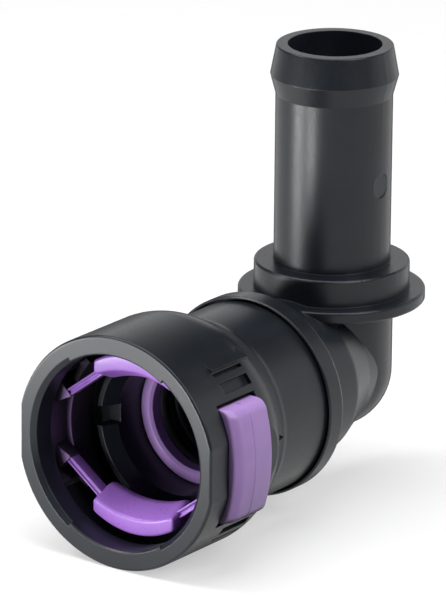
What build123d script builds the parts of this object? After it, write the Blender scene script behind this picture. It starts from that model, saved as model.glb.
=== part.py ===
from build123d import *
from math import cos, radians, sin, sqrt
import os

# An elbow quick coupling for coolant tube: a socket that latches on the bead of a tube spigot,
# and a barbed stem for a hose at a right angle to it. All lengths are millimetres.
# Frame: the origin is the centre of the socket's mouth. +Y runs into the socket along its axis,
# +Z runs up along the hose stem, and +X points to one of the two release buttons.

# ---- the tube spigot that plugs into the socket
spigot_diameter = 19.0
spigot_bead_diameter = 23.2
guide_clearance = 0.05
bead_clearance = 0.2

# ---- hose stem, for a hose of the same inside diameter
stem_diameter = 20.0
flow_diameter = 16.1
stem_top = 56.4
stem_nose_diameter = 19.9
barb_diameter = 21.85
barb_height = 51.2
barb_foot_height = 47.8
rim_round = 0.25
gate_mark_diameter = 4.2
gate_mark_depth = 0.2
gate_mark_height = 33.0

# ---- stop flanges at the foot of the stem
upper_flange_diameter = 26.7
upper_flange_top = 18.4
lower_flange_diameter = 32.1
lower_flange_top = 13.6
lower_flange_thickness = 2.1
flange_round = 0.45

# ---- elbow
elbow_station = 61.7
riser_diameter = 21.14
corner_drop = 1.0

# ---- rear ring and neck of the elbow body
seam_station = 37.0
ring_diameter = 34.9
ring_length = 4.3
ring_chamfer = 0.25
ring_edge_round = 1.0
neck_root_diameter = 28.8
neck_root_round = 0.9
neck_shoulder_diameter = 28.2
neck_shoulder_length = 8.5
neck_shoulder_round = 2.5
neck_foot_diameter = 22.9
neck_foot_length = 7.4
neck_end_diameter = 20.6
shroud_wall = 0.4
shroud_depth = 1.2

# ---- socket tube inside the housing, part of the elbow body
tube_front = 14.0
tube_diameter = 28.4
lead_in_diameter = 26.6
lead_in_length = 2.6
keyway_width = 3.4
keyway_length = 3.4
pilot_length = 6.1
pilot_taper_length = 2.2

# ---- guide ring, seals and spacer in the tube
guide_ring_front = 22.9
guide_ring_length = 2.7
guide_ring_chamfer = 0.5
snap_ridge_height = 0.25
snap_ridge_width = 0.7
seal_section = 2.65
spacer_length = 1.4
ring_fit_clearance = 0.04
stack_clearance = 0.03

# ---- latch housing
collar_diameter = 40.3
collar_length = 17.8
collar_edge_round = 0.45
flat_spacing = 39.2
shoulder_length = 7.1
shoulder_edge_round = 9.0
shoulder_foot_round = 3.5
sleeve_diameter = 33.2
sleeve_clearance = 0.05
mouth_diameter = 33.6
mouth_chamfer = 0.25
side_chamfer = 0.85
side_chamfer_half_angle = 57.0
lip_thickness = 4.65
cavity_diameter = 36.0
cavity_end = 18.3
window_length = 10.45
window_half_height = 10.55

# ---- marks moulded beside each window
tab_angle = 50.0
tab_width = 2.5
tab_height = 0.15
tab_tilt = 16.0
tab_start = 7.8
tab_length = 9.9
slit_angle = 45.4
slit_width = 0.6
slit_depth = 0.9
slit_length = 7.9
pocket_angle = 38.0
pocket_width = 1.9
pocket_depth = 0.9
pocket_start = 8.0
pocket_length = 7.6
arrow_start = 2.1
arrow_length = 4.6
arrow_width = 1.1
arrow_height = 1.35
arrow_tip_drop = 1.3
arrow_depth = 0.4

# ---- release buttons
press_travel = 1.6
button_gap = 0.5
button_end_gap = 0.65
button_proud_height = 2.0
button_crown_radius = 30.0
button_inner_clearance = 0.8
button_bevel = 1.1
button_bevel_height = 0.75
button_edge_round = 0.45
button_end_round = 1.5
parting_ridge_width = 0.35
parting_ridge_height = 0.1
ear_clearance = 0.3
ear_thickness = 1.3
ear_half_angle = 41.0
ear_length = 5.0
gusset_reach = 2.5
gusset_height = 1.9

# ---- latch pads and their spring arms
pad_front_clearance = 0.35
pad_length = 5.6
pad_ramp_length = 4.2
pad_half_width = 8.3
pad_outer_diameter = 31.2
pad_land_height = 10.7
pad_land_radius = 19.0
pad_ramp_rise = 2.1
pad_round = 0.6
arm_start = 6.8
arm_width = 2.2
arm_thickness = 1.25
arm_root = (8.0, 10.9)
arm_tip = (14.6, 5.9)
arm_tip_gap = 0.06
lug_side_clearance = 0.2
lug_reach = 1.1
lug_foot_height = 3.2

# ---- worked out from the sizes above
flow_radius = flow_diameter / 2
stem_radius = stem_diameter / 2
bore_radius = spigot_bead_diameter / 2 + bead_clearance
guide_radius = spigot_diameter / 2 + guide_clearance
tube_radius = tube_diameter / 2
collar_radius = collar_diameter / 2
sleeve_radius = sleeve_diameter / 2
cavity_radius = cavity_diameter / 2
ring_radius = ring_diameter / 2
riser_radius = riser_diameter / 2
neck_root_radius = neck_root_diameter / 2
neck_shoulder_radius = neck_shoulder_diameter / 2
lead_in_end = tube_front + lead_in_length
guide_ring_end = guide_ring_front + guide_ring_length
front_seal_station = guide_ring_end + stack_clearance + seal_section / 2
spacer_front = front_seal_station + seal_section / 2 + stack_clearance
spacer_end = spacer_front + spacer_length
rear_seal_station = spacer_end + stack_clearance + seal_section / 2
bore_end = rear_seal_station + seal_section / 2 + stack_clearance
pilot_end = bore_end + pilot_length
ring_end = seam_station + ring_length
neck_shoulder_station = ring_end + neck_shoulder_length
neck_foot_station = neck_shoulder_station + neck_foot_length
sleeve_end = seam_station + shroud_depth
shoulder_foot_station = collar_length + shoulder_length
window_end = lip_thickness + window_length
pad_front = lip_thickness + pad_front_clearance
button_crown_half_width = flat_spacing / 2 + button_proud_height
button_inner_half_width = cavity_radius - button_inner_clearance


def turned(points):
    """Solid of revolution about the socket axis from (radius, station) corners."""
    return revolve(make_face(Polyline(*points, close=True)), Axis.Y)


def upright(points):
    """Solid of revolution about the stem axis from (radius, height) corners."""
    face = Plane.XZ * make_face(Polyline(*points, close=True))
    return Pos(0, elbow_station, 0) * revolve(face, Axis.Z)


def bar(points, start, length):
    """Prism along Y from (x, z) corners, between start and start + length."""
    face = Plane((0, start, 0), x_dir=(1, 0, 0), z_dir=(0, -1, 0)) * make_face(Polyline(*points, close=True))
    return extrude(face, -length)


def round_ring(shape, station, radius, amount):
    """Round the circular edge about the socket axis that lies at a station and radius."""
    same = 0.001
    rings = shape.edges().filter_by(GeomType.CIRCLE)
    return fillet(rings.filter_by(lambda edge: abs(edge.center().Y - station) < same
                                  and abs(edge.radius - radius) < same), amount)


def both_sides(shape):
    """The shape and its mirror image across the socket's upright middle plane."""
    return [shape, mirror(shape, Plane.YZ)]


def all_quarters(shape):
    """The shape mirrored to all four quarters of the collar."""
    return [each for half in both_sides(shape) for each in (half, mirror(half, Plane.XY))]


def elbow_outside():
    """Outer form: rear ring, neck that tapers to the elbow, rounded corner, riser and hose stem."""
    outline = Polyline((0, seam_station), (ring_radius - ring_chamfer, seam_station),
                       (ring_radius, seam_station + ring_chamfer), (ring_radius, ring_end),
                       (neck_root_radius, ring_end), (neck_shoulder_radius, neck_shoulder_station),
                       (neck_foot_diameter / 2, neck_foot_station), (neck_end_diameter / 2, elbow_station),
                       (0, elbow_station), close=True)
    socket_side = revolve(make_face(outline), Axis.Y)
    socket_side = round_ring(socket_side, ring_end, ring_radius, ring_edge_round)
    socket_side = round_ring(socket_side, ring_end, neck_root_radius, neck_root_round)
    socket_side = round_ring(socket_side, neck_shoulder_station, neck_shoulder_radius, neck_shoulder_round)
    riser_height = upper_flange_top + corner_drop
    riser = Pos(0, elbow_station, riser_height / 2 - corner_drop) * Cylinder(riser_radius, riser_height)
    corner = Pos(0, elbow_station, -corner_drop) * Sphere(riser_radius)
    return socket_side + riser + corner + stem_outside()


def stem_outside():
    """Stop flanges and barbed stem, turned about the stem axis."""
    lower = upright([(0, lower_flange_top - lower_flange_thickness),
                     (lower_flange_diameter / 2, lower_flange_top - lower_flange_thickness),
                     (lower_flange_diameter / 2, lower_flange_top), (0, lower_flange_top)])
    lower = fillet(lower.edges().filter_by(GeomType.CIRCLE), flange_round)
    upper = upright([(0, lower_flange_top - lower_flange_thickness), (upper_flange_diameter / 2,
                    lower_flange_top - lower_flange_thickness),
                     (upper_flange_diameter / 2, upper_flange_top), (0, upper_flange_top)])
    upper = fillet(upper.edges().filter_by(GeomType.CIRCLE).group_by(Axis.Z)[-1], flange_round)
    stem = upright([(0, lower_flange_top), (stem_radius, lower_flange_top), (stem_radius, barb_foot_height),
                    (barb_diameter / 2, barb_height), (stem_nose_diameter / 2, stem_top), (0, stem_top)])
    stem = fillet(stem.edges().filter_by(GeomType.CIRCLE).group_by(Axis.Z)[-1], rim_round)
    return lower + upper + stem


def elbow_passages():
    """Everything cored out of the elbow body: socket bores, pilot, flow passage and stem bore."""
    groove_start = guide_ring_front + guide_ring_length / 2 - snap_ridge_width / 2 - stack_clearance
    groove_end = groove_start + snap_ridge_width + 2 * stack_clearance
    groove_radius = bore_radius + snap_ridge_height
    socket = turned([(0, tube_front - 1), (lead_in_diameter / 2, tube_front - 1),
                     (lead_in_diameter / 2, tube_front), (bore_radius, lead_in_end),
                     (bore_radius, groove_start), (groove_radius, groove_start),
                     (groove_radius, groove_end), (bore_radius, groove_end), (bore_radius, bore_end),
                     (guide_radius, bore_end), (guide_radius, pilot_end),
                     (flow_radius, pilot_end + pilot_taper_length), (flow_radius, elbow_station),
                     (0, elbow_station)])
    corner = Pos(0, elbow_station, 0) * Sphere(flow_radius)
    stem_bore = upright([(0, 0), (flow_radius, 0), (flow_radius, stem_top + 1), (0, stem_top + 1)])
    return socket + corner + stem_bore


def make_elbow_body():
    """Elbow, hose stem, rear ring and the socket tube that reaches forward inside the housing."""
    body = elbow_outside()
    shroud_radius = ring_radius - shroud_wall
    body -= turned([(0, seam_station - 1), (shroud_radius, seam_station - 1),
                    (shroud_radius, sleeve_end), (0, sleeve_end)])
    body += turned([(0, tube_front), (tube_radius, tube_front), (tube_radius, sleeve_end), (0, sleeve_end)])
    body -= elbow_passages()
    keyway = Pos(0, tube_front + keyway_length / 2, 0) * Box(4 * tube_radius, keyway_length, keyway_width)
    body -= keyway - Pos(0, tube_front, 0) * Rot(90, 0, 0) * Cylinder(bore_radius - 1, 4 * keyway_length)
    mark = Pos(stem_radius, elbow_station, gate_mark_height) * Rot(0, 90, 0) * Cylinder(
        gate_mark_diameter / 2, 2 * gate_mark_depth)
    return body - mark


def make_guide_ring():
    """Ring that guides the spigot and keeps the seals in, with a ridge that snaps into the bore."""
    outer = bore_radius - ring_fit_clearance
    middle = guide_ring_front + guide_ring_length / 2
    ridge = bore_radius + snap_ridge_height - ring_fit_clearance
    ring = turned([(guide_radius + guide_ring_chamfer, guide_ring_front),
                   (outer - guide_ring_chamfer / 2, guide_ring_front),
                   (outer, guide_ring_front + guide_ring_chamfer / 2),
                   (outer, middle - snap_ridge_width / 2), (ridge, middle - snap_ridge_width / 2),
                   (ridge, middle + snap_ridge_width / 2), (outer, middle + snap_ridge_width / 2),
                   (outer, guide_ring_end), (guide_radius, guide_ring_end),
                   (guide_radius, guide_ring_front + guide_ring_chamfer)])
    return ring


def make_seal(station):
    """O-ring lying in the bore, its middle at a station along the axis."""
    middle_radius = bore_radius - ring_fit_clearance - seal_section / 2
    return Pos(0, station, 0) * Rot(90, 0, 0) * Torus(middle_radius, seal_section / 2)


def make_spacer_ring():
    """Plain ring that keeps the two seals apart."""
    outer = bore_radius - ring_fit_clearance
    return turned([(guide_radius, spacer_front), (outer, spacer_front),
                   (outer, spacer_end), (guide_radius, spacer_end)])


def housing_outside():
    """Collar with a flat on each side, a coned shoulder, and the sleeve that reaches the rear ring."""
    outline = Polyline((0, 0), (collar_radius, 0), (collar_radius, collar_length),
                       (sleeve_radius, shoulder_foot_station), (sleeve_radius, sleeve_end),
                       (0, sleeve_end), close=True)
    body = revolve(make_face(outline), Axis.Y)
    body = round_ring(body, collar_length, collar_radius, shoulder_edge_round)
    body = round_ring(body, shoulder_foot_station, sleeve_radius, shoulder_foot_round)
    flat_half = flat_spacing / 2
    for side in (-1, 1):
        body -= Pos(side * (flat_half + collar_radius), collar_length, 0) * Box(
            2 * collar_radius, 4 * collar_length, 3 * collar_radius)
    front_edges = body.faces().sort_by(Axis.Y)[0].edges()
    return fillet(front_edges, collar_edge_round)


def housing_inside():
    """Mouth, latch cavity behind the lip, and the bore that slides over the socket tube."""
    mouth_radius = mouth_diameter / 2
    sleeve_bore = tube_radius + sleeve_clearance
    return turned([(0, -1), (mouth_radius + mouth_chamfer, -1), (mouth_radius + mouth_chamfer, 0),
                   (mouth_radius, mouth_chamfer), (mouth_radius, lip_thickness),
                   (cavity_radius, lip_thickness), (cavity_radius, cavity_end),
                   (sleeve_bore, cavity_end), (sleeve_bore, sleeve_end + 1), (0, sleeve_end + 1)])


def side_lead_in():
    """Wider chamfer along the part of the mouth's edge that lies beside a release button."""
    mouth_radius = mouth_diameter / 2
    cone = turned([(0, -1), (mouth_radius + side_chamfer, -1), (mouth_radius + side_chamfer, 0),
                   (mouth_radius, side_chamfer), (0, side_chamfer)])
    reach = 2 * collar_radius
    edge_x = reach * cos(radians(side_chamfer_half_angle))
    edge_z = reach * sin(radians(side_chamfer_half_angle))
    wedge = bar([(0, 0), (edge_x, edge_z), (reach, edge_z), (reach, -edge_z), (edge_x, -edge_z)], -2, 4)
    return cone & wedge


def on_collar(angle, start, length, width, depth):
    """Block set into the collar's skin at an angle about the axis, depth deep from the skin."""
    block = Pos(collar_radius, start + length / 2, 0) * Box(2 * depth, length, width)
    return Rot(0, -angle, 0) * block


def make_latch_housing():
    """Outer moulding that holds the latch: mouth, windows for the buttons, moulded marks."""
    body = housing_outside()
    tab = Pos(collar_radius + tab_height - 1, tab_start + tab_length / 2, 0) * Rot(0, -tab_tilt, 0) * Box(
        2, tab_length, tab_width)
    for turn in (-tab_angle, 180 - tab_angle):
        body += Rot(0, turn, 0) * tab
    body -= housing_inside()
    cuts = [side_lead_in(),
            Pos(collar_radius, lip_thickness + window_length / 2, 0) * Box(
                collar_radius, window_length, 2 * window_half_height)]
    cuts = [each for cut in cuts for each in both_sides(cut)]
    cuts += all_quarters(on_collar(slit_angle, tab_start, slit_length, slit_width, slit_depth))
    cuts += all_quarters(on_collar(pocket_angle, pocket_start, pocket_length, pocket_width, pocket_depth))
    for cut in cuts:
        body -= cut
    for each in both_sides(direction_arrow()):
        body -= each
    return body


def direction_arrow():
    """Arrow sunk into the coned shoulder on the +X side, pointing to the rear."""
    fall = (collar_radius - sleeve_radius) / shoulder_length
    base = (collar_radius - fall * arrow_start, collar_length + arrow_start, arrow_height)
    skin = Plane(base, x_dir=(-fall, 1, 0), z_dir=(1, fall, 0))
    head = make_face(Polyline((0, arrow_width / 2), (0, -arrow_width / 2), (arrow_length, -arrow_tip_drop),
                              close=True))
    return extrude(skin.offset(-arrow_depth) * head, 4 * arrow_depth)


def crown_face(extra):
    """Side view of a button: crowned outside with round ends, a gusset inside each end, extra crown height."""
    half_height = window_half_height - button_end_gap
    middle = button_crown_half_width + extra
    end = middle - button_crown_radius + sqrt(button_crown_radius**2 - half_height**2)
    outline = ThreePointArc((end, -half_height), (middle, 0), (end, half_height))
    gusset_tip = button_inner_half_width - gusset_reach
    gusset_foot = half_height - gusset_height
    outline += Polyline((end, half_height), (gusset_tip, half_height), (button_inner_half_width, gusset_foot),
                        (button_inner_half_width, -gusset_foot), (gusset_tip, -half_height), (end, -half_height))
    face = make_face(outline)
    return fillet(face.vertices().sort_by(Axis.X)[-2:], button_end_round)


def upright_prism(face, start, length):
    """Prism along Y of a face drawn with x across and y up."""
    return extrude(Plane((0, start, 0), x_dir=(1, 0, 0), z_dir=(0, -1, 0)) * face, -length)


def make_button():
    """Release button on the +X side: crowned block, ears behind the window, lugs for the arms."""
    start = lip_thickness + button_gap
    length = window_length - 2 * button_gap
    block = upright_prism(crown_face(0), start, length)
    crown = block.faces().filter_by(GeomType.CYLINDER).sort_by(Axis.X)[-1]
    block = chamfer(crown.edges().sort_by(Axis.Y)[0], button_bevel_height, button_bevel)
    crown = block.faces().filter_by(GeomType.CYLINDER).sort_by(Axis.X)[-1]
    block = fillet(crown.edges().sort_by(Axis.Y)[-1], button_edge_round)
    ridge = upright_prism(crown_face(parting_ridge_height), start + (length - parting_ridge_width) / 2,
                          parting_ridge_width)
    trim = Pos(button_crown_half_width, start, 0) * Box(
        2 * button_crown_half_width, 4 * length, 2 * (window_half_height - button_end_gap - button_end_round))
    block += ridge & trim
    ear_outer = cavity_radius - ear_clearance
    ear_inner = ear_outer - ear_thickness
    ears = turned([(ear_inner, start + length - ear_length), (ear_outer, start + length - ear_length),
                   (ear_outer, start + length), (ear_inner, start + length)])
    reach = 2 * collar_radius
    edge_x = reach * cos(radians(ear_half_angle))
    edge_z = reach * sin(radians(ear_half_angle))
    ears &= bar([(0, 0), (edge_x, edge_z), (reach, edge_z), (reach, -edge_z), (edge_x, -edge_z)],
                start, length)
    return block + ears + lugs()


def lugs():
    """Two wedges on the inside of a button, one for each arm, with 45 degree faces."""
    tip_x, tip_z = arm_tip
    offset = tip_z - tip_x
    inner = tip_x - lug_reach / 2
    root = button_inner_half_width + 1
    wedge = bar([(inner, inner + offset), (root, root + offset), (root, lug_foot_height)],
                arm_start - lug_side_clearance, arm_width + 2 * lug_side_clearance)
    return wedge + mirror(wedge, Plane.XY)


def make_pad():
    """Upper latch pad with its ramp and land, and the two spring arms that run to the buttons."""
    outer_radius = pad_outer_diameter / 2
    blank = turned([(0, pad_front), (outer_radius, pad_front), (outer_radius, pad_front + pad_length),
                    (0, pad_front + pad_length)])
    blank &= Pos(0, pad_front + pad_length / 2, outer_radius) * Box(
        2 * pad_half_width, 2 * pad_length, 2 * outer_radius)
    ramp_end = pad_front + pad_ramp_length
    throat = turned([(0, pad_front - 1), (pad_land_radius + pad_ramp_rise, pad_front - 1),
                     (pad_land_radius + pad_ramp_rise, pad_front), (pad_land_radius, ramp_end),
                     (pad_land_radius, pad_front + pad_length + 1), (0, pad_front + pad_length + 1)])
    pad = blank - Pos(0, 0, pad_land_height - pad_land_radius) * throat
    ends = pad.edges().filter_by(Axis.Y).filter_by(lambda edge: abs(edge.center().X) > pad_half_width - 0.1)
    pad = fillet(ends, pad_round)
    for arm in both_sides(make_arm()):
        pad += arm
    return pad


def make_arm():
    """Spring arm from the pad's end to a 45 degree face at the button's lug."""
    root_x, root_z = arm_root
    tip_x, tip_z = arm_tip
    run = sqrt((tip_x - root_x) ** 2 + (tip_z - root_z) ** 2)
    across = ((tip_z - root_z) / run * arm_thickness / 2, -(tip_x - root_x) / run * arm_thickness / 2)
    offset = tip_z - tip_x + arm_tip_gap * sqrt(2)

    def end_point(side):
        """Where one edge of the arm meets the end face, the line z = x + offset."""
        start_x, start_z = root_x + side * across[0], root_z + side * across[1]
        slope = (tip_z - root_z) / (tip_x - root_x)
        meet_x = (start_z - slope * start_x - offset) / (1 - slope)
        return (meet_x, meet_x + offset)

    lower_root = (root_x + across[0], root_z + across[1])
    upper_root = (root_x - across[0], root_z - across[1])
    inside = (pad_half_width - 1.5, root_z + 1.0)
    return bar([inside, upper_root, end_point(-1), end_point(1), lower_root], arm_start, arm_width)


def write(name, shape):
    """One STEP file for each sub-part, named after its node."""
    export_step(shape, f"parts/{name}.step")


os.makedirs("parts", exist_ok=True)
right_button = make_button()
upper_pad = make_pad()
write("elbow_body", make_elbow_body())
write("latch_housing", make_latch_housing())
write("guide_ring", make_guide_ring())
write("front_seal", make_seal(front_seal_station))
write("spacer_ring", make_spacer_ring())
write("rear_seal", make_seal(rear_seal_station))
write("release_button_right", right_button)
write("release_button_left", mirror(right_button, Plane.YZ))
write("latch_pad_upper", upper_pad)
write("latch_pad_lower", mirror(upper_pad, Plane.XY))
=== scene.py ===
import math
import bmesh
import bpy
import numpy as np
from mathutils import Matrix, Vector


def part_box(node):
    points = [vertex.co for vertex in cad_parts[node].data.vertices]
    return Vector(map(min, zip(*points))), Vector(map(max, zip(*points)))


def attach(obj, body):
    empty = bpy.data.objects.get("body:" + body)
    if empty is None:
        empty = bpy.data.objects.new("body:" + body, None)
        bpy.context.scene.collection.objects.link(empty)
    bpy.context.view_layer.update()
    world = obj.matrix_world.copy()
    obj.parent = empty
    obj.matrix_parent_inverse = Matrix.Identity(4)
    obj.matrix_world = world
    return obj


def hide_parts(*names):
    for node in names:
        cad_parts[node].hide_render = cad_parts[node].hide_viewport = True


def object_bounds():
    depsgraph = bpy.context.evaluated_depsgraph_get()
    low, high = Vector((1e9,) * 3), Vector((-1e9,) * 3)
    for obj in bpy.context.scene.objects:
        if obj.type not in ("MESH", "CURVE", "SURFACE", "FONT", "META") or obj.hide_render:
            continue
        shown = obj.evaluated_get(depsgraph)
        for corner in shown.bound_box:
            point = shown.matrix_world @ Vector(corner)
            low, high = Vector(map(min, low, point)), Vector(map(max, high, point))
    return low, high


# A right-angle coolant coupling: a latching socket with two purple release buttons, and a barbed hose stem.
# Shapes are worked out in millimetres, in the frame of the CAD model, and put into the meshes in metres.

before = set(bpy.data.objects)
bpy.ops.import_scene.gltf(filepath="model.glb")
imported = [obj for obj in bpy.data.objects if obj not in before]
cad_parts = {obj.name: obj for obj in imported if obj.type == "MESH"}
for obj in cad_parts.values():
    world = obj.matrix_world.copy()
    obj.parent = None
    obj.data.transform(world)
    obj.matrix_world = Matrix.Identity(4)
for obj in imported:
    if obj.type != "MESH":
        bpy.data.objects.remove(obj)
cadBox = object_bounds()
mm = 0.001
print("frame loaded,", len(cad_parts), "nodes")


# A closed outline with every corner rounded by an arc that touches both of its sides. The arc's centre is
# on the line that halves the corner, radius / sin(half the angle) away, and the arc turns from one touching
# point to the other.
def roundedLoop(corners, radii, arcSteps=6):
    corner = np.array(corners, float)
    radius = np.broadcast_to(np.array(radii, float), len(corner))[:, None]
    before = np.roll(corner, 1, 0) - corner
    after = np.roll(corner, -1, 0) - corner
    before /= np.linalg.norm(before, axis=1)[:, None]
    after /= np.linalg.norm(after, axis=1)[:, None]
    half = np.arccos(np.clip((before * after).sum(1), -1, 1))[:, None] / 2
    middle = before + after
    centre = corner + middle / np.linalg.norm(middle, axis=1)[:, None] * radius / np.sin(half)
    first = corner + before * radius / np.tan(half) - centre
    last = corner + after * radius / np.tan(half) - centre
    sweep = math.pi - 2 * half
    side = (last - first * np.cos(sweep)) / np.sin(sweep)
    turn = (np.linspace(0, 1, arcSteps + 1)[None, :] * sweep)[:, :, None]
    return (centre[:, None] + first[:, None] * np.cos(turn) + side[:, None] * np.sin(turn)).reshape(-1, 2)


# Moves every point of closed outlines inwards, by one amount for each outline, at right angles to the line
# through the point's neighbours. The sign of an outline's area says which side is its inside.
def inset(loops, amount):
    along = np.roll(loops, -1, 1) - np.roll(loops, 1, 1)
    along /= np.linalg.norm(along, axis=2)[:, :, None]
    inward = np.stack([-along[:, :, 1], along[:, :, 0]], 2)
    x, y = loops[:, :, 0], loops[:, :, 1]
    area = (x * np.roll(y, -1, 1) - np.roll(x, -1, 1) * y).sum(1)
    return loops + inward * (np.sign(area) * amount)[:, None, None]


# Stations from -reach to reach along a run with rounded ends, and how much smaller the outline is at each:
# both follow a quarter arc of the radius, and the flat end face is smaller by most of the radius.
def roundedStations(reach, radius, arcSteps, flatSteps):
    endFaceShare = 0.85
    angle = np.linspace(0, math.pi / 2, arcSteps)[:-1]
    far = np.append(reach - radius + radius * np.sin(angle), reach)
    smaller = np.append(radius * (1 - np.cos(angle)), radius * endFaceShare)
    flat = np.linspace(-(reach - radius), reach - radius, flatSteps)[1:-1]
    return np.concatenate([-far[::-1], flat, far]), np.concatenate([smaller[::-1], flat * 0, smaller])


# A circle's height against its own top at each station: sqrt(radius^2 - station^2) - radius.
def circleDrop(radius, station):
    return np.sqrt(radius ** 2 - station ** 2) - radius


# How far a surface falls away near both ends of a run: nothing up to the corner, then along a quarter arc.
def cornerFall(corner, reach, station):
    tiny = 1e-9  # keeps the root just above nothing at the very end
    over = np.clip(np.abs(station) - (reach - corner), 0, corner)
    return corner - np.sqrt(corner ** 2 - over ** 2 + tiny)


# A closed shell over rows of points: quads between neighbouring rows, and a fan to the middle of the first
# and of the last row. x, y and z are stretched to one grid, one outline to a row.
def loft(x, y, z):
    loops = np.stack(np.broadcast_arrays(x, y, z), -1)
    rows, around = loops.shape[:2]
    row = np.arange(rows - 1)[:, None] * around
    here = np.arange(around)
    there = (here + 1) % around
    quads = np.stack([row + here, row + there, row + around + there, row + around + here], -1).reshape(-1, 4)
    count = rows * around
    lastRow = count - around
    firstFan = np.stack([there, here, np.full(around, count)], -1)
    lastFan = np.stack([here + lastRow, there + lastRow, np.full(around, count + 1)], -1)
    points = np.concatenate([loops.reshape(-1, 3), loops[:1].mean(1), loops[-1:].mean(1)])
    return points, quads, np.concatenate([firstFan, lastFan])


# One mesh object from several closed shells, mirrored where an axis is named. Faces point outwards, points
# closer than the merge gap become one, and an edge that turns by more than the sharp angle stays sharp.
def makePiece(name, shells, mirrorAxis):
    mergeGap, sharpAngle = 1e-7, 38.0  # metres, degrees
    points = np.concatenate([shell[0] for shell in shells]) * mm
    if mirrorAxis is not None:
        points[:, mirrorAxis] *= -1
    faces, start = [], 0
    for shellPoints, quads, fans in shells:
        faces += (quads + start).tolist() + (fans + start).tolist()
        start += len(shellPoints)
    mesh = bpy.data.meshes.new(name)
    mesh.from_pydata(points.tolist(), [], faces)
    work = bmesh.new()
    work.from_mesh(mesh)
    bmesh.ops.remove_doubles(work, verts=work.verts, dist=mergeGap)
    bmesh.ops.recalc_face_normals(work, faces=work.faces)
    work.to_mesh(mesh)
    work.free()
    mesh.shade_smooth()
    mesh.set_sharp_from_angle(angle=math.radians(sharpAngle))
    piece = bpy.data.objects.new(name, mesh)
    bpy.context.scene.collection.objects.link(piece)
    return piece


# An sRGB hex colour as linear red, green, blue and alpha, by the sRGB curve.
def hexToLinear(code):
    value = np.array([int(code[i:i + 2], 16) for i in (1, 3, 5)]) / 255
    return (*np.where(value <= 0.04045, value / 12.92, ((value + 0.055) / 1.055) ** 2.4).tolist(), 1.0)


# Adds a node: settings go to its sockets or its own properties, and links join other nodes' outputs to its
# inputs. Of a colour Mix node, socket 0 is the factor, 6 and 7 are the two colours, and output 2 is the
# result.
def addNode(tree, kind, settings=None, links=None):
    node = tree.nodes.new(kind)
    for name, value in (settings or {}).items():
        if isinstance(name, int) or name in node.inputs:
            node.inputs[name].default_value = value
        else:
            setattr(node, name, value)
    for name, source in (links or {}).items():
        tree.links.new(source, node.inputs[name])
    return node


# The scale at which a noise has one lump in every size millimetres: 1 / the size in metres.
def perMm(size):
    return 1 / (size * mm)


# What all the plastics share: which part of each noise is used, from what slant a face looks matt and by how
# much, how much more matt a recess is, and how finely recesses for the painted shade and round edges are
# looked for.
moulding = {"flowRange": (0.35, 0.65), "grainRange": (0.3, 0.7), "slantRange": (0.76, 0.96),
            "slantMatt": 0.45, "recessMatt": 0.4, "paintedShadeSamples": 10, "edgeSamples": 6}
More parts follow.
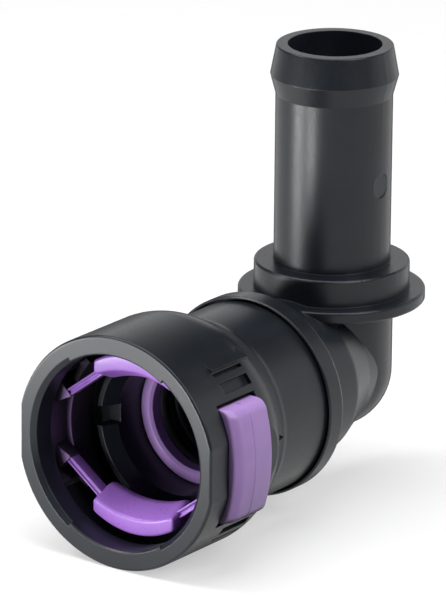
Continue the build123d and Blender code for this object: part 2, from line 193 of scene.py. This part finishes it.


# A moulded plastic: slow tone changes from the flow of the melt, a fine tool grain in the gloss and the
# relief, and edges that a mould leaves slightly round, so that they catch the light. A tool's own grain is
# about 0.1 mm, too fine to show, so grainMm draws it coarser. Where other faces stand closer than
# paintedShadeMm, painted shade, found by ambient occlusion, turns the colour towards paintedShadeColour, and
# the plastic goes matt.
def mouldedPlastic(name, look):
    material = bpy.data.materials.new(name)
    material.use_nodes = True
    tree = material.node_tree
    tree.nodes.clear()
    place = addNode(tree, "ShaderNodeTexCoord").outputs["Object"]
    flow = addNode(tree, "ShaderNodeTexNoise", {
        "Scale": perMm(look["flowMm"]), "Detail": 3.0, "Roughness": 0.55}, {"Vector": place}).outputs["Fac"]
    grain = addNode(tree, "ShaderNodeTexNoise", {
        "Scale": perMm(look["grainMm"]), "Detail": 2.0, "Roughness": 0.6}, {"Vector": place}).outputs["Fac"]
    low, high = moulding["flowRange"]
    tone = addNode(tree, "ShaderNodeMapRange", {
        "From Min": low, "From Max": high}, {"Value": flow}).outputs[0]
    colour = addNode(tree, "ShaderNodeMix", {
        "data_type": "RGBA", 6: hexToLinear(look["colour"]), 7: hexToLinear(look["flowColour"])},
        {0: tone}).outputs[2]
    low, high = moulding["grainRange"]
    smoothest, roughest = look["roughness"]
    gloss = addNode(tree, "ShaderNodeMapRange", {
        "From Min": low, "From Max": high, "To Min": smoothest, "To Max": roughest},
        {"Value": grain}).outputs[0]
    slant = addNode(tree, "ShaderNodeLayerWeight", {"Blend": 0.5}).outputs["Facing"]
    low, high = moulding["slantRange"]
    matt = addNode(tree, "ShaderNodeMapRange", {
        "From Min": low, "From Max": high, "To Min": 0.0, "To Max": moulding["slantMatt"]},
        {"Value": slant}).outputs[0]
    rough = addNode(tree, "ShaderNodeMath", {"operation": "ADD"}, {0: gloss, 1: matt}).outputs[0]
    # Painted shade: ambient occlusion darkens the colour in recesses and corners towards paintedShadeColour,
    # and makes them more matt.
    if "paintedShadeMm" in look:
        openness = addNode(tree, "ShaderNodeAmbientOcclusion", {
            "samples": moulding["paintedShadeSamples"], "Distance": look["paintedShadeMm"] * mm}).outputs["AO"]
        deep, shallow = look["paintedShadeRange"]
        outsidePaintedShade = addNode(tree, "ShaderNodeMapRange", {
            "From Min": deep, "From Max": shallow}, {"Value": openness}).outputs[0]
        colour = addNode(tree, "ShaderNodeMix", {
            "data_type": "RGBA", 6: hexToLinear(look["paintedShadeColour"])}, {0: outsidePaintedShade, 7: colour}).outputs[2]
        dull = addNode(tree, "ShaderNodeMapRange", {
            "From Min": deep, "From Max": shallow, "To Min": moulding["recessMatt"], "To Max": 0.0},
            {"Value": openness}).outputs[0]
        rough = addNode(tree, "ShaderNodeMath", {"operation": "ADD"}, {0: rough, 1: dull}).outputs[0]
    shader = addNode(tree, "ShaderNodeBsdfPrincipled", {"IOR": look["ior"]},
                     {"Base Color": colour, "Roughness": rough})
    if "grainDepthMm" in look:
        bump = addNode(tree, "ShaderNodeBump", {
            "Strength": 1.0, "Distance": look["grainDepthMm"] * mm}, {"Height": grain})
        tree.links.new(bump.outputs[0], shader.inputs["Normal"])
        if "edgeRoundMm" in look:
            edge = addNode(tree, "ShaderNodeBevel", {
                "samples": moulding["edgeSamples"], "Radius": look["edgeRoundMm"] * mm})
            tree.links.new(edge.outputs[0], bump.inputs["Normal"])
    addNode(tree, "ShaderNodeOutputMaterial", links={"Surface": shader.outputs[0]})
    return material


# Glass-filled nylon, injection moulded: near black and satin, with a faint orange peel from the fibres, and
# painted shade darkening its grooves and corners.
blackNylon = mouldedPlastic("glassFilledNylon", {
    "colour": "#11151b", "flowColour": "#161b22", "flowMm": 7.0, "grainMm": 0.5, "grainDepthMm": 0.006,
    "roughness": (0.31, 0.38), "edgeRoundMm": 0.22, "ior": 1.44, "paintedShadeColour": "#060708", "paintedShadeMm": 1.6,
    "paintedShadeRange": (0.3, 0.6)})

# Acetal, injection moulded: milky violet and smooth, with the tool's grain in its gloss alone.
padAcetal = mouldedPlastic("padAcetal", {
    "colour": "#8f60b8", "flowColour": "#9768bf", "flowMm": 5.0, "grainMm": 0.6, "roughness": (0.27, 0.31),
    "ior": 1.52})

# The same acetal moulded against an etched tool: paler and more even. Painted shade darkens its inner side,
# which looks across the socket.
buttonAcetal = mouldedPlastic("buttonAcetal", {
    "colour": "#a885c6", "flowColour": "#ad8aca", "flowMm": 5.0, "grainMm": 0.5, "grainDepthMm": 0.004,
    "roughness": (0.34, 0.40), "ior": 1.48, "paintedShadeColour": "#150c1e", "paintedShadeMm": 40.0,
    "paintedShadeRange": (0.34, 0.5)})

# The ring's acetal: as pale as the buttons, smoother, with edges that catch the light.
ringAcetal = mouldedPlastic("ringAcetal", {
    "colour": "#a885c6", "flowColour": "#ad8aca", "flowMm": 5.0, "grainMm": 0.5, "grainDepthMm": 0.002,
    "roughness": (0.28, 0.33), "edgeRoundMm": 0.25, "ior": 1.5})

# EPDM rubber, moulded and oiled: black with a soft sheen.
sealRubber = mouldedPlastic("sealRubber", {
    "colour": "#101010", "flowColour": "#161616", "flowMm": 3.0, "grainMm": 0.4, "grainDepthMm": 0.004,
    "roughness": (0.38, 0.46), "edgeRoundMm": 0.1, "ior": 1.5})

# Plain nylon, moulded, of the spacer between the seals: black, a little greyer than the filled nylon.
spacerNylon = mouldedPlastic("spacerNylon", {
    "colour": "#1c1c1e", "flowColour": "#232326", "flowMm": 4.0, "grainMm": 0.4, "grainDepthMm": 0.004,
    "roughness": (0.36, 0.44), "edgeRoundMm": 0.1, "ior": 1.53})
print("materials made")

# The CAD nodes whose shape is right only get their material.
for node, material in (("elbow_body", blackNylon), ("latch_housing", blackNylon), ("guide_ring", ringAcetal),
                       ("front_seal", sealRubber), ("rear_seal", sealRubber), ("spacer_ring", spacerNylon)):
    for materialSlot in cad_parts[node].material_slots:
        materialSlot.material = material
print("CAD pieces painted")


# Puts the purple acetal on a piece, and lets it ride on a body in place of a CAD node, which it hides.
def dress(piece, material, body, node):
    piece.data.materials.append(material)
    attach(piece, body)
    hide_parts(node)


# edgeRounds go round the outline: the ramp's front and foot, then the lower rear, upper rear and upper
# front edges.
padSizes = {"outerRadius": 15.6, "landRadius": 19.0, "landHeight": 10.7, "rampRise": 2.1, "rampEnd": 4.2,
            "halfWidth": 8.3, "endCorner": 1.4, "endRound": 0.45, "edgeRounds": (0.7, 2.2, 0.5, 0.5, 0.55),
            "endSteps": 7, "flatSteps": 41}


# Latch pad: an outline of ramp, land, back, top and front is carried from one end to the other; its inner
# line follows the land's circle and rounds outwards at both ends, its outer line follows the outer circle,
# and both end faces are rounded.
def padShell(front, rear):
    size = padSizes
    height, top = size["landHeight"], size["outerRadius"]
    outline = roundedLoop([(front, height + size["rampRise"]), (front + size["rampEnd"], height),
                           (rear, height), (rear, top), (front, top)], size["edgeRounds"])
    x, shrink = roundedStations(size["halfWidth"], size["endRound"], size["endSteps"], size["flatSteps"])
    loops = inset(np.broadcast_to(outline, (len(x), *outline.shape)), shrink)
    inner = circleDrop(size["landRadius"], x) + cornerFall(size["endCorner"], size["halfWidth"], x)
    outer = circleDrop(size["outerRadius"], x)
    share = np.clip((loops[:, :, 1] - height) / (top - height), 0, 1)
    z = loops[:, :, 1] + inner[:, None] * (1 - share) + outer[:, None] * share
    return loft(x[:, None], loops[:, :, 0], z)


# root and tip are (x, z) on the arm's middle line, and start is the y of its front face, which has the
# groove.
armSizes = {"root": (6.6, 11.95), "tip": (14.6, 5.9), "tipGap": 0.06, "thickness": 1.25, "start": 6.8,
            "width": 2.2, "grooveWidth": 0.5, "grooveDepth": 0.4, "edgeRound": 0.12, "arcSteps": 3,
            "stations": 9}


# Arm: a grooved bar from root towards tip. The lug's face is the plane z - x = planeOffset, and each edge
# line of the bar runs on along the arm until it meets that plane, less the gap.
def armShell(hand):
    size = armSizes
    root, tip = np.array(size["root"]), np.array(size["tip"])
    along = (tip - root) / np.linalg.norm(tip - root)
    across = np.array([-along[1], along[0]])
    half, wide = size["thickness"] / 2, size["width"] / 2
    side, bottom = size["grooveWidth"] / 2, size["grooveDepth"] - wide
    outline = roundedLoop([(-half, -wide), (-side, -wide), (-side, bottom), (side, bottom), (side, -wide),
                           (half, -wide), (half, wide), (-half, wide)], size["edgeRound"], size["arcSteps"])
    planeOffset = tip[1] - tip[0] + size["tipGap"] * math.sqrt(2)
    apart = planeOffset - (root[1] - root[0]) - outline[:, 0] * (across[1] - across[0])
    reach = apart / (along[1] - along[0])
    travel = np.linspace(0, 1, size["stations"])[:, None] * reach
    middle = root + travel[:, :, None] * along + outline[:, :1] * across
    return loft(hand * middle[:, :, 0], size["start"] + wide + outline[:, 1], middle[:, :, 1])


low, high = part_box("latch_pad_upper")
padShells = [padShell(low.y / mm, high.y / mm), armShell(1), armShell(-1)]
for name, node, body, mirrorAxis in (("upperLatchPad", "latch_pad_upper", "upper_latch", None),
                                     ("lowerLatchPad", "latch_pad_lower", "lower_latch", 2)):
    dress(makePiece(name, padShells, mirrorAxis), padAcetal, body, node)
print("latch pads made")

# edgeRounds go round the outline: lower front, the bevel's two edges, the ridge's four, upper rear and
# lower rear. Points less than crownDepth below the face follow the crown, and those within backDepth of the
# back follow the back.
buttonSizes = {"crown": 21.6, "crownRadius": 30.0, "inner": 17.2, "halfHeight": 9.9, "endCorner": 1.5,
               "bevel": 1.2, "bevelHeight": 1.0, "ridgeWidth": 0.35, "ridgeHeight": 0.1, "ridgeFlank": 0.12,
               "endRound": 0.3, "gussetReach": 2.5, "gussetHeight": 1.9, "crownDepth": 2.0, "backDepth": 0.6,
               "edgeRounds": (0.3, 0.7, 1.1, 0.04, 0.05, 0.05, 0.04, 0.5, 0.3), "endSteps": 6,
               "flatSteps": 61}


# Button block: an outline of front, bevel, face with its parting ridge, rear and back is carried up the
# button; its outer part follows the crown's circle, which falls off at both ends, and its back has a gusset
# at each end.
def blockShell(front, rear):
    size = buttonSizes
    middle, depth = (front + rear) / 2, size["crown"] - size["inner"]
    ridge, ridgeHeight = size["ridgeWidth"] / 2, size["ridgeHeight"]
    foot = ridge + size["ridgeFlank"]
    outline = roundedLoop([(front, -depth), (front, -size["bevelHeight"]), (front + size["bevel"], 0),
                           (middle - foot, 0), (middle - ridge, ridgeHeight), (middle + ridge, ridgeHeight),
                           (middle + foot, 0), (rear, 0), (rear, -depth)], size["edgeRounds"])
    z, shrink = roundedStations(size["halfHeight"], size["endRound"], size["endSteps"], size["flatSteps"])
    loops = inset(np.broadcast_to(outline, (len(z), *outline.shape)), shrink)
    height = loops[:, :, 1]
    fall = cornerFall(size["endCorner"], size["halfHeight"], z)
    crown = size["crown"] + circleDrop(size["crownRadius"], z) - fall
    gusset = np.clip(1 - (size["halfHeight"] - np.abs(z)) / size["gussetHeight"], 0, 1) * size["gussetReach"]
    back = size["inner"] - gusset + depth
    share = np.clip((-height - size["crownDepth"]) / (depth - size["crownDepth"] - size["backDepth"]), 0, 1)
    x = (crown[:, None] + height) * (1 - share) + (back[:, None] + height) * share
    return loft(x, loops[:, :, 0], z[:, None])


earSizes = {"outerRadius": 17.7, "thickness": 1.3, "halfAngle": 41.0, "length": 5.0, "edgeRound": 0.25,
            "stations": 61}


# Ear: a rounded bar bent round the socket's axis, behind the window's edges.
def earShell(rear):
    size = earSizes
    outer, front = size["outerRadius"], rear - size["length"]
    inner = outer - size["thickness"]
    outline = roundedLoop([(inner, front), (outer, front), (outer, rear), (inner, rear)], size["edgeRound"])
    angle = np.radians(np.linspace(-size["halfAngle"], size["halfAngle"], size["stations"]))[:, None]
    return loft(outline[:, 0] * np.cos(angle), outline[:, 1], outline[:, 0] * np.sin(angle))


# inner, outer and foot are the wedge's (x, z) corners, and start is the y of its front face.
lugSizes = {"inner": (14.05, 5.35), "outer": (18.2, 9.5), "foot": (18.2, 3.2), "start": 6.6, "width": 2.6,
            "edgeRound": 0.2, "arcSteps": 4, "stations": 3}


# Lug: a straight wedge whose 45 degree face meets the arm's end.
def lugShell(side):
    size = lugSizes
    outline = roundedLoop([size["inner"], size["outer"], size["foot"]], size["edgeRound"], size["arcSteps"])
    y = np.linspace(size["start"], size["start"] + size["width"], size["stations"])[:, None]
    return loft(outline[:, 0], y, side * outline[:, 1])


low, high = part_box("release_button_right")
buttonShells = [blockShell(low.y / mm, high.y / mm), earShell(high.y / mm), lugShell(1), lugShell(-1)]
for name, node, body, mirrorAxis in (("rightButton", "release_button_right", "right_button", None),
                                     ("leftButton", "release_button_left", "left_button", 0)):
    dress(makePiece(name, buttonShells, mirrorAxis), buttonAcetal, body, node)
print("release buttons made")


# Puts a mesh that isn't part of the object into the scene.
def makeStage(name, points, faces, material):
    mesh = bpy.data.meshes.new(name)
    mesh.from_pydata(points, [], faces)
    mesh.materials.append(material)
    piece = bpy.data.objects.new(name, mesh)
    bpy.context.scene.collection.objects.link(piece)
    return piece


# One for rays that the camera, a reflection or a clear material sends out, and nothing for scattered light.
def seenDirectly(tree):
    path = addNode(tree, "ShaderNodeLightPath").outputs
    seen = path["Is Camera Ray"]
    for kind in ("Is Glossy Ray", "Is Transmission Ray"):
        seen = addNode(tree, "ShaderNodeMath", {"operation": "MAXIMUM"}, {0: seen, 1: path[kind]}).outputs[0]
    return seen


# Matt card: its colour where it is seen directly, and its bounce colour for scattered light. Where it is
# seen directly it is also part paper white, from the first glow at the near end of the fade to the second
# at its far end.
def cardMaterial(name, look):
    material = bpy.data.materials.new(name)
    material.use_nodes = True
    tree = material.node_tree
    tree.nodes.clear()
    direct = seenDirectly(tree)
    place = addNode(tree, "ShaderNodeTexCoord").outputs["Object"]
    away = addNode(tree, "ShaderNodeVectorMath", {"operation": "LENGTH"}, {0: place}).outputs["Value"]
    near, far = look["fade"]
    nearGlow, farGlow = look["glow"]
    fade = addNode(tree, "ShaderNodeMapRange", {
        "interpolation_type": "SMOOTHSTEP", "From Min": near, "From Max": far, "To Min": nearGlow,
        "To Max": farGlow}, {"Value": away}).outputs[0]
    part = addNode(tree, "ShaderNodeMath", {"operation": "MULTIPLY"}, {0: direct, 1: fade}).outputs[0]
    shade = addNode(tree, "ShaderNodeMix", {
        "data_type": "RGBA", 6: hexToLinear(look["bounceColour"]), 7: hexToLinear(look["colour"])},
        {0: direct}).outputs[2]
    paint = addNode(tree, "ShaderNodeBsdfDiffuse", links={"Color": shade}).outputs[0]
    white = addNode(tree, "ShaderNodeEmission", {"Color": (1, 1, 1, 1), "Strength": 1.0}).outputs[0]
    mix = addNode(tree, "ShaderNodeMixShader", links={0: part, 1: paint, 2: white})
    addNode(tree, "ShaderNodeOutputMaterial", links={"Surface": mix.outputs[0]})
    return material


# Floor of white paper: near the object it keeps the shadow, and further out it fades into the background.
floorLook = {"size": 6.0, "colour": "#fafafa", "bounceColour": "#6a6a6a", "fade": (0.12, 0.6),
             "glow": (0.46, 1.0)}
lowest = cadBox[0][2]
half = floorLook["size"] / 2
floorCorners = [(-half, -half, lowest), (half, -half, lowest), (half, half, lowest), (-half, half, lowest)]
makeStage("floor", floorCorners, [(0, 1, 2, 3)], cardMaterial("floorPaper", floorLook))

# Black flag, which gives the glossy faces something dark to reflect. Its edges and angles are in degrees.
flagLook = {"radius": 1.5, "colour": "#101114", "bounceColour": "#101114", "fade": (0.12, 0.6),
            "glow": (0.0, 0.0), "backEdge": 30.0, "frontEdge": 1.0, "topEdge": 89.0, "backHalfAngle": 62.0,
            "edgeSoftness": 4.0, "columns": 96, "rows": 16}


# Part of a sphere round the object: its lower edge is near the floor in front and rises behind along a
# smooth step, 1 / (1 + exp((angle from the back - half angle) / softness)), and its upper edge is almost
# overhead.
def flagMesh(look):
    turn = np.radians(np.linspace(0, 360, look["columns"] + 1))
    fromBack = np.degrees(math.pi - np.abs(turn - math.pi))
    behind = 1 / (1 + np.exp((fromBack - look["backHalfAngle"]) / look["edgeSoftness"]))
    edge = look["frontEdge"] + (look["backEdge"] - look["frontEdge"]) * behind
    rise = np.radians(edge + np.linspace(0, 1, look["rows"] + 1)[:, None] * (look["topEdge"] - edge))
    x = look["radius"] * np.cos(rise) * np.sin(turn)
    y = look["radius"] * np.cos(rise) * np.cos(turn)
    z = look["radius"] * np.sin(rise) + lowest
    around = look["columns"] + 1
    first = (np.arange(look["rows"])[:, None] * around + np.arange(look["columns"])).ravel()
    faces = np.stack([first, first + 1, first + around + 1, first + around], -1)
    return np.stack([x, y, z], -1).reshape(-1, 3).tolist(), faces.tolist()


flag = makeStage("blackFlag", *flagMesh(flagLook), cardMaterial("flagCloth", flagLook))
flag.visible_camera = False


# The unit direction from the object to an azimuth (0 is in front, 90 on the +X side) and an elevation.
def directionTo(azimuth, elevation):
    turn, rise = math.radians(azimuth), math.radians(elevation)
    return Vector((math.sin(turn) * math.cos(rise), -math.cos(turn) * math.cos(rise), math.sin(rise)))


# Soft lamps: rectangles at a distance in metres from the point that they look at, with a width, a height
# and an even radiance. The big ones light the whole object, and the two panels light the socket's mouth
# from close by.
middle = (0, 0.035, 0.005)
lamps = {
    "overhead": {"azimuth": 0, "elevation": 88, "distance": 0.9, "aim": middle, "size": (0.9, 0.9),
                 "radiance": 3.0},
    "key": {"azimuth": -62, "elevation": 49, "distance": 0.7, "aim": middle, "size": (0.19, 0.19),
            "radiance": 16.0},
    "frontPanel": {"azimuth": -11, "elevation": -3, "distance": 0.125, "aim": (0, 0.02, 0),
                   "size": (0.04, 0.032), "radiance": 27.0},
    "leftPanel": {"azimuth": -50, "elevation": -2, "distance": 0.14, "aim": (0, 0, 0),
                  "size": (0.06, 0.036), "radiance": 22.0},
    "sideFill": {"azimuth": 82, "elevation": 40, "distance": 0.8, "aim": middle, "size": (0.4, 0.4),
                 "radiance": 6.4}}


# An area lamp whose power is radiance * pi * width * height.
def softLamp(name, look):
    light = bpy.data.lights.new(name, "AREA")
    light.shape = "RECTANGLE"
    light.size, light.size_y = look["size"]
    light.energy = look["radiance"] * math.pi * look["size"][0] * look["size"][1]
    lamp = bpy.data.objects.new(name, light)
    bpy.context.scene.collection.objects.link(lamp)
    away = directionTo(look["azimuth"], look["elevation"])
    lamp.location = Vector(look["aim"]) + away * look["distance"]
    lamp.rotation_euler = away.to_track_quat("Z", "Y").to_euler()


for name, look in lamps.items():
    softLamp(name, look)

# The world: plain white where it is seen directly, and a dimmer white as light.
worldLevels = {"light": 0.45, "seen": 1.0}
world = bpy.data.worlds.new("studio")
bpy.context.scene.world = world
world.use_nodes = True
tree = world.node_tree
tree.nodes.clear()
level = addNode(tree, "ShaderNodeMapRange", {"To Min": worldLevels["light"], "To Max": worldLevels["seen"]},
                {"Value": seenDirectly(tree)}).outputs[0]
sky = addNode(tree, "ShaderNodeBackground", {"Color": (1, 1, 1, 1)}, {"Strength": level})
addNode(tree, "ShaderNodeOutputWorld", links={"Surface": sky.outputs[0]})

# Angles in degrees, lens and sensor in millimetres, and the rest in metres. The shifts move the camera and
# its target.
cameraLook = {"azimuth": 35.82, "elevation": 18.01, "roll": 0.566, "lens": 399.0, "sensor": 36.0,
              "farClip": 20.0, "distance": 1.1146, "aim": (0, 0.030, 0.010), "shiftRight": 0.00011,
              "shiftUp": 0.0085}


# Right, up and back of a camera that looks from an azimuth and an elevation, turned about its own view by
# the roll.
def cameraAxes(azimuth, elevation, roll):
    turn, lean = math.radians(azimuth), math.radians(roll)
    back = directionTo(azimuth, elevation)
    level = Vector((math.cos(turn), math.sin(turn), 0))
    upright = back.cross(level)
    right = level * math.cos(lean) + upright * math.sin(lean)
    up = upright * math.cos(lean) - level * math.sin(lean)
    return right, up, back


right, up, back = cameraAxes(cameraLook["azimuth"], cameraLook["elevation"], cameraLook["roll"])
target = Vector(cameraLook["aim"]) + right * cameraLook["shiftRight"] + up * cameraLook["shiftUp"]
lens = bpy.data.cameras.new("camera")
lens.lens = cameraLook["lens"]
lens.sensor_width = cameraLook["sensor"]
lens.clip_end = cameraLook["farClip"]
camera = bpy.data.objects.new("camera", lens)
bpy.context.scene.collection.objects.link(camera)
camera.matrix_world = Matrix.Translation(target + back * cameraLook["distance"]) @ Matrix((
    (right.x, up.x, back.x, 0), (right.y, up.y, back.y, 0), (right.z, up.z, back.z, 0), (0, 0, 0, 1)))
bpy.context.scene.camera = camera
bpy.context.scene.view_settings.view_transform = "Standard"
print("stage, lamps and camera set")
